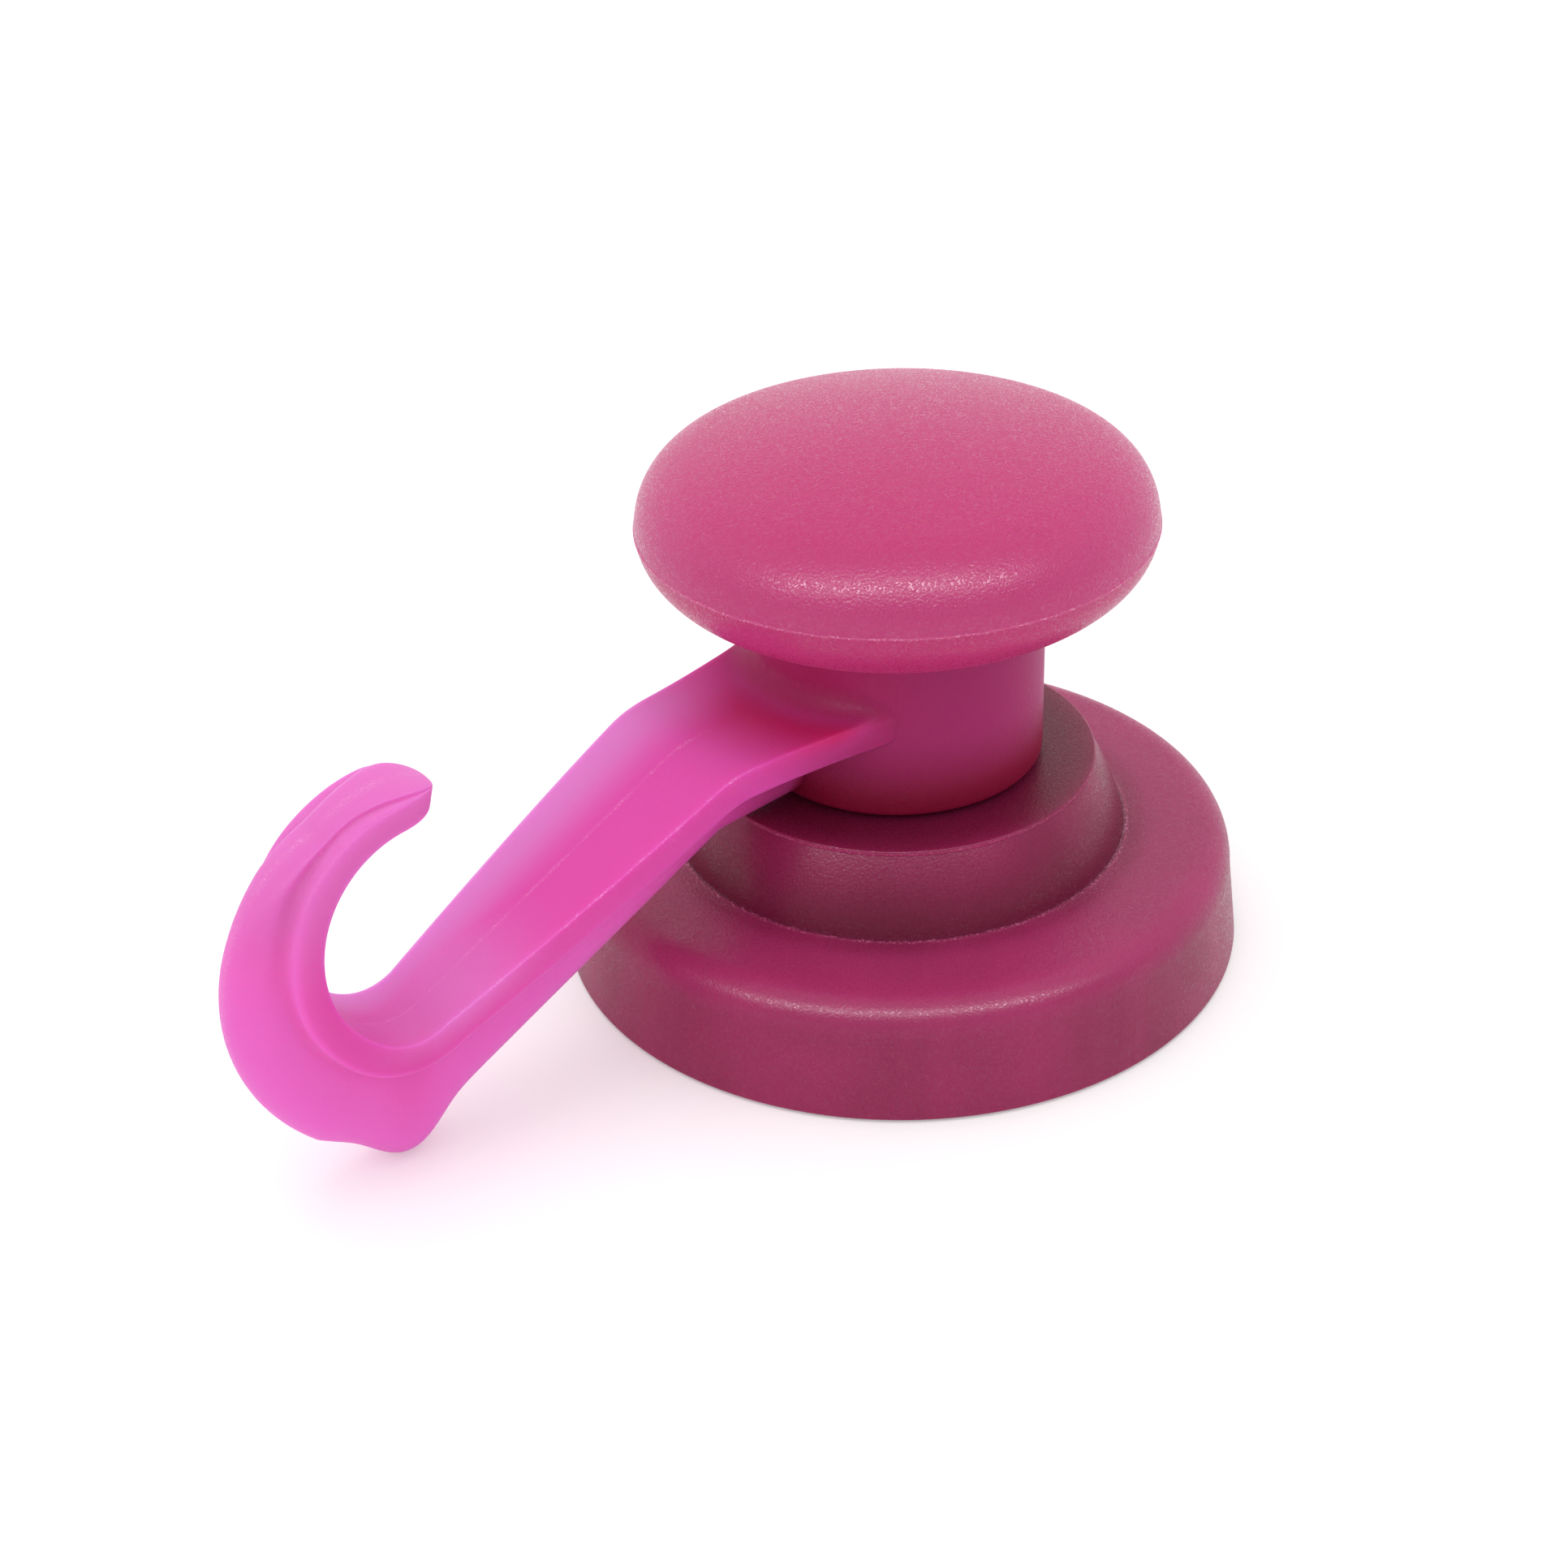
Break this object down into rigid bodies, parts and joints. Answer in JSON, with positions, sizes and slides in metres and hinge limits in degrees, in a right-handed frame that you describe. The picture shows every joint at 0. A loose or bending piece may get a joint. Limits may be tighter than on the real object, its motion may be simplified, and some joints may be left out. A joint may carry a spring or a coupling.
{
  "type": "magnetic swivel hook",
  "caption": "Moulded plastic magnetic hook: round magnet housing, grip knob and a tee-section hook arm that swivels freely about the spindle between them.",
  "frame": {"origin": "centre of the round pad face that holds on to the steel surface", "axes": "+Z along the swivel axis, away from the steel surface towards the knob; the hook arm points along -X at rest"},
  "size_m": [0.0661, 0.042, 0.0337],
  "materials": {
    "housing_plastic": "fine-grained wine-pink polypropylene, slightly translucent",
    "knob_plastic": "fine-grained deep pink polypropylene, satin",
    "hook_plastic": "fine-grained violet-pink polypropylene, translucent in its thin parts",
    "face_vinyl": "matt anti-slip sheet",
    "magnet_ferrite": "dull sintered ferrite",
    "plated_steel": "bright zinc plating"
  },
  "bodies": {
    "base": {"base_shell": "housing_plastic", "face_pad": "face_vinyl", "magnet_disc": "magnet_ferrite", "backing_cup": "plated_steel", "centre_screw": "plated_steel", "screw_washer": "plated_steel", "knob": "knob_plastic"},
    "hook": {"hook": "hook_plastic"}
  },
  "joints": [
    {"name": "hook_swivel", "type": "hinge", "parent": "base", "child": "hook", "pos_m": [0, 0, 0.0176], "axis": [0, 0, 1], "continuous": true}
  ]
}
